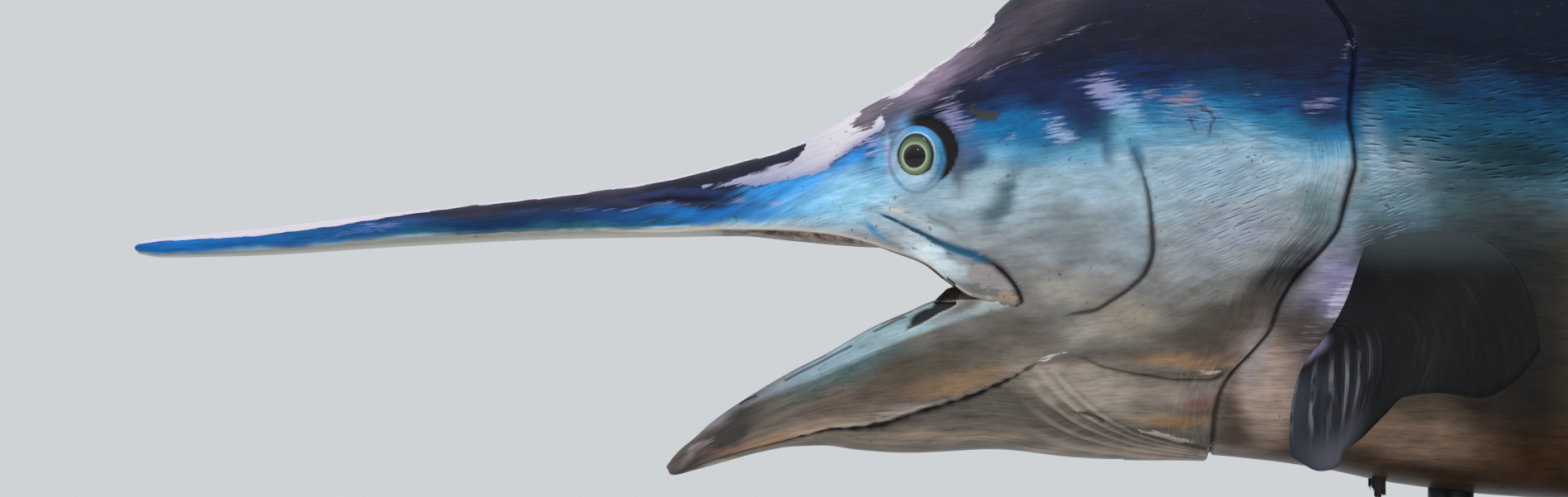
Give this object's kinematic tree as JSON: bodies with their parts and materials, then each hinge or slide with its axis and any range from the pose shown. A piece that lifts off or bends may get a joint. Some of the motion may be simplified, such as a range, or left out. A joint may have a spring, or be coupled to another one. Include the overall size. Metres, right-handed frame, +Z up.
{
  "type": "painted blue marlin statue on a stand",
  "caption": "Life-size painted fibreglass statue of a blue marlin with an open mouth and flared pectoral fins, held over a flat base on rods.",
  "frame": {"origin": "on the floor under the base, at the middle of the whole statue's bounding box", "axes": "+X from the bill toward the tail, +Y toward the fish's right flank, +Z up; the left flank faces -Y"},
  "size_m": [3.78, 1.2812, 1.4639],
  "materials": {
    "bill_blue": "brushed oil paint under a satin varnish",
    "head_blue": "brushed oil paint under a satin varnish, chipped in places",
    "jaw_brown": "brushed oil paint under a satin varnish, cracked along the rim",
    "trunk_blue": "brushed paint under a satin varnish",
    "flank_blue": "brushed paint under a satin varnish",
    "tail_blue": "brushed paint under a satin varnish",
    "keel_navy": "satin paint",
    "fin_slate": "satin paint",
    "stub_dark": "bare broken resin",
    "fin_navy": "satin paint",
    "eye_glass": "clear glass over a painted iris",
    "rod_steel": "satin black paint on steel tube",
    "base_dark": "satin dark paint"
  },
  "bodies": {
    "root": {"bill": "bill_blue", "head": "head_blue", "lower_jaw": "jaw_brown", "trunk_front": "trunk_blue", "trunk_rear": "flank_blue", "tail_stock": "tail_blue", "keel_upper_left": "keel_navy", "keel_upper_right": "keel_navy", "keel_lower_left": "keel_navy", "keel_lower_right": "keel_navy", "pectoral_fin_left": "fin_slate", "pectoral_fin_right": "fin_slate", "pelvic_stub_left": "stub_dark", "pelvic_stub_right": "stub_dark", "first_dorsal_front": "fin_navy", "first_dorsal_rear": "fin_navy", "second_dorsal": "fin_navy", "first_anal": "fin_navy", "second_anal": "fin_navy", "tail_fin_upper": "fin_navy", "tail_fin_lower": "fin_navy", "eye_left": "eye_glass", "eye_right": "eye_glass", "stand_rod_front": "rod_steel", "stand_rod_rear": "rod_steel", "stand_base": "base_dark"}
  },
  "joints": []
}
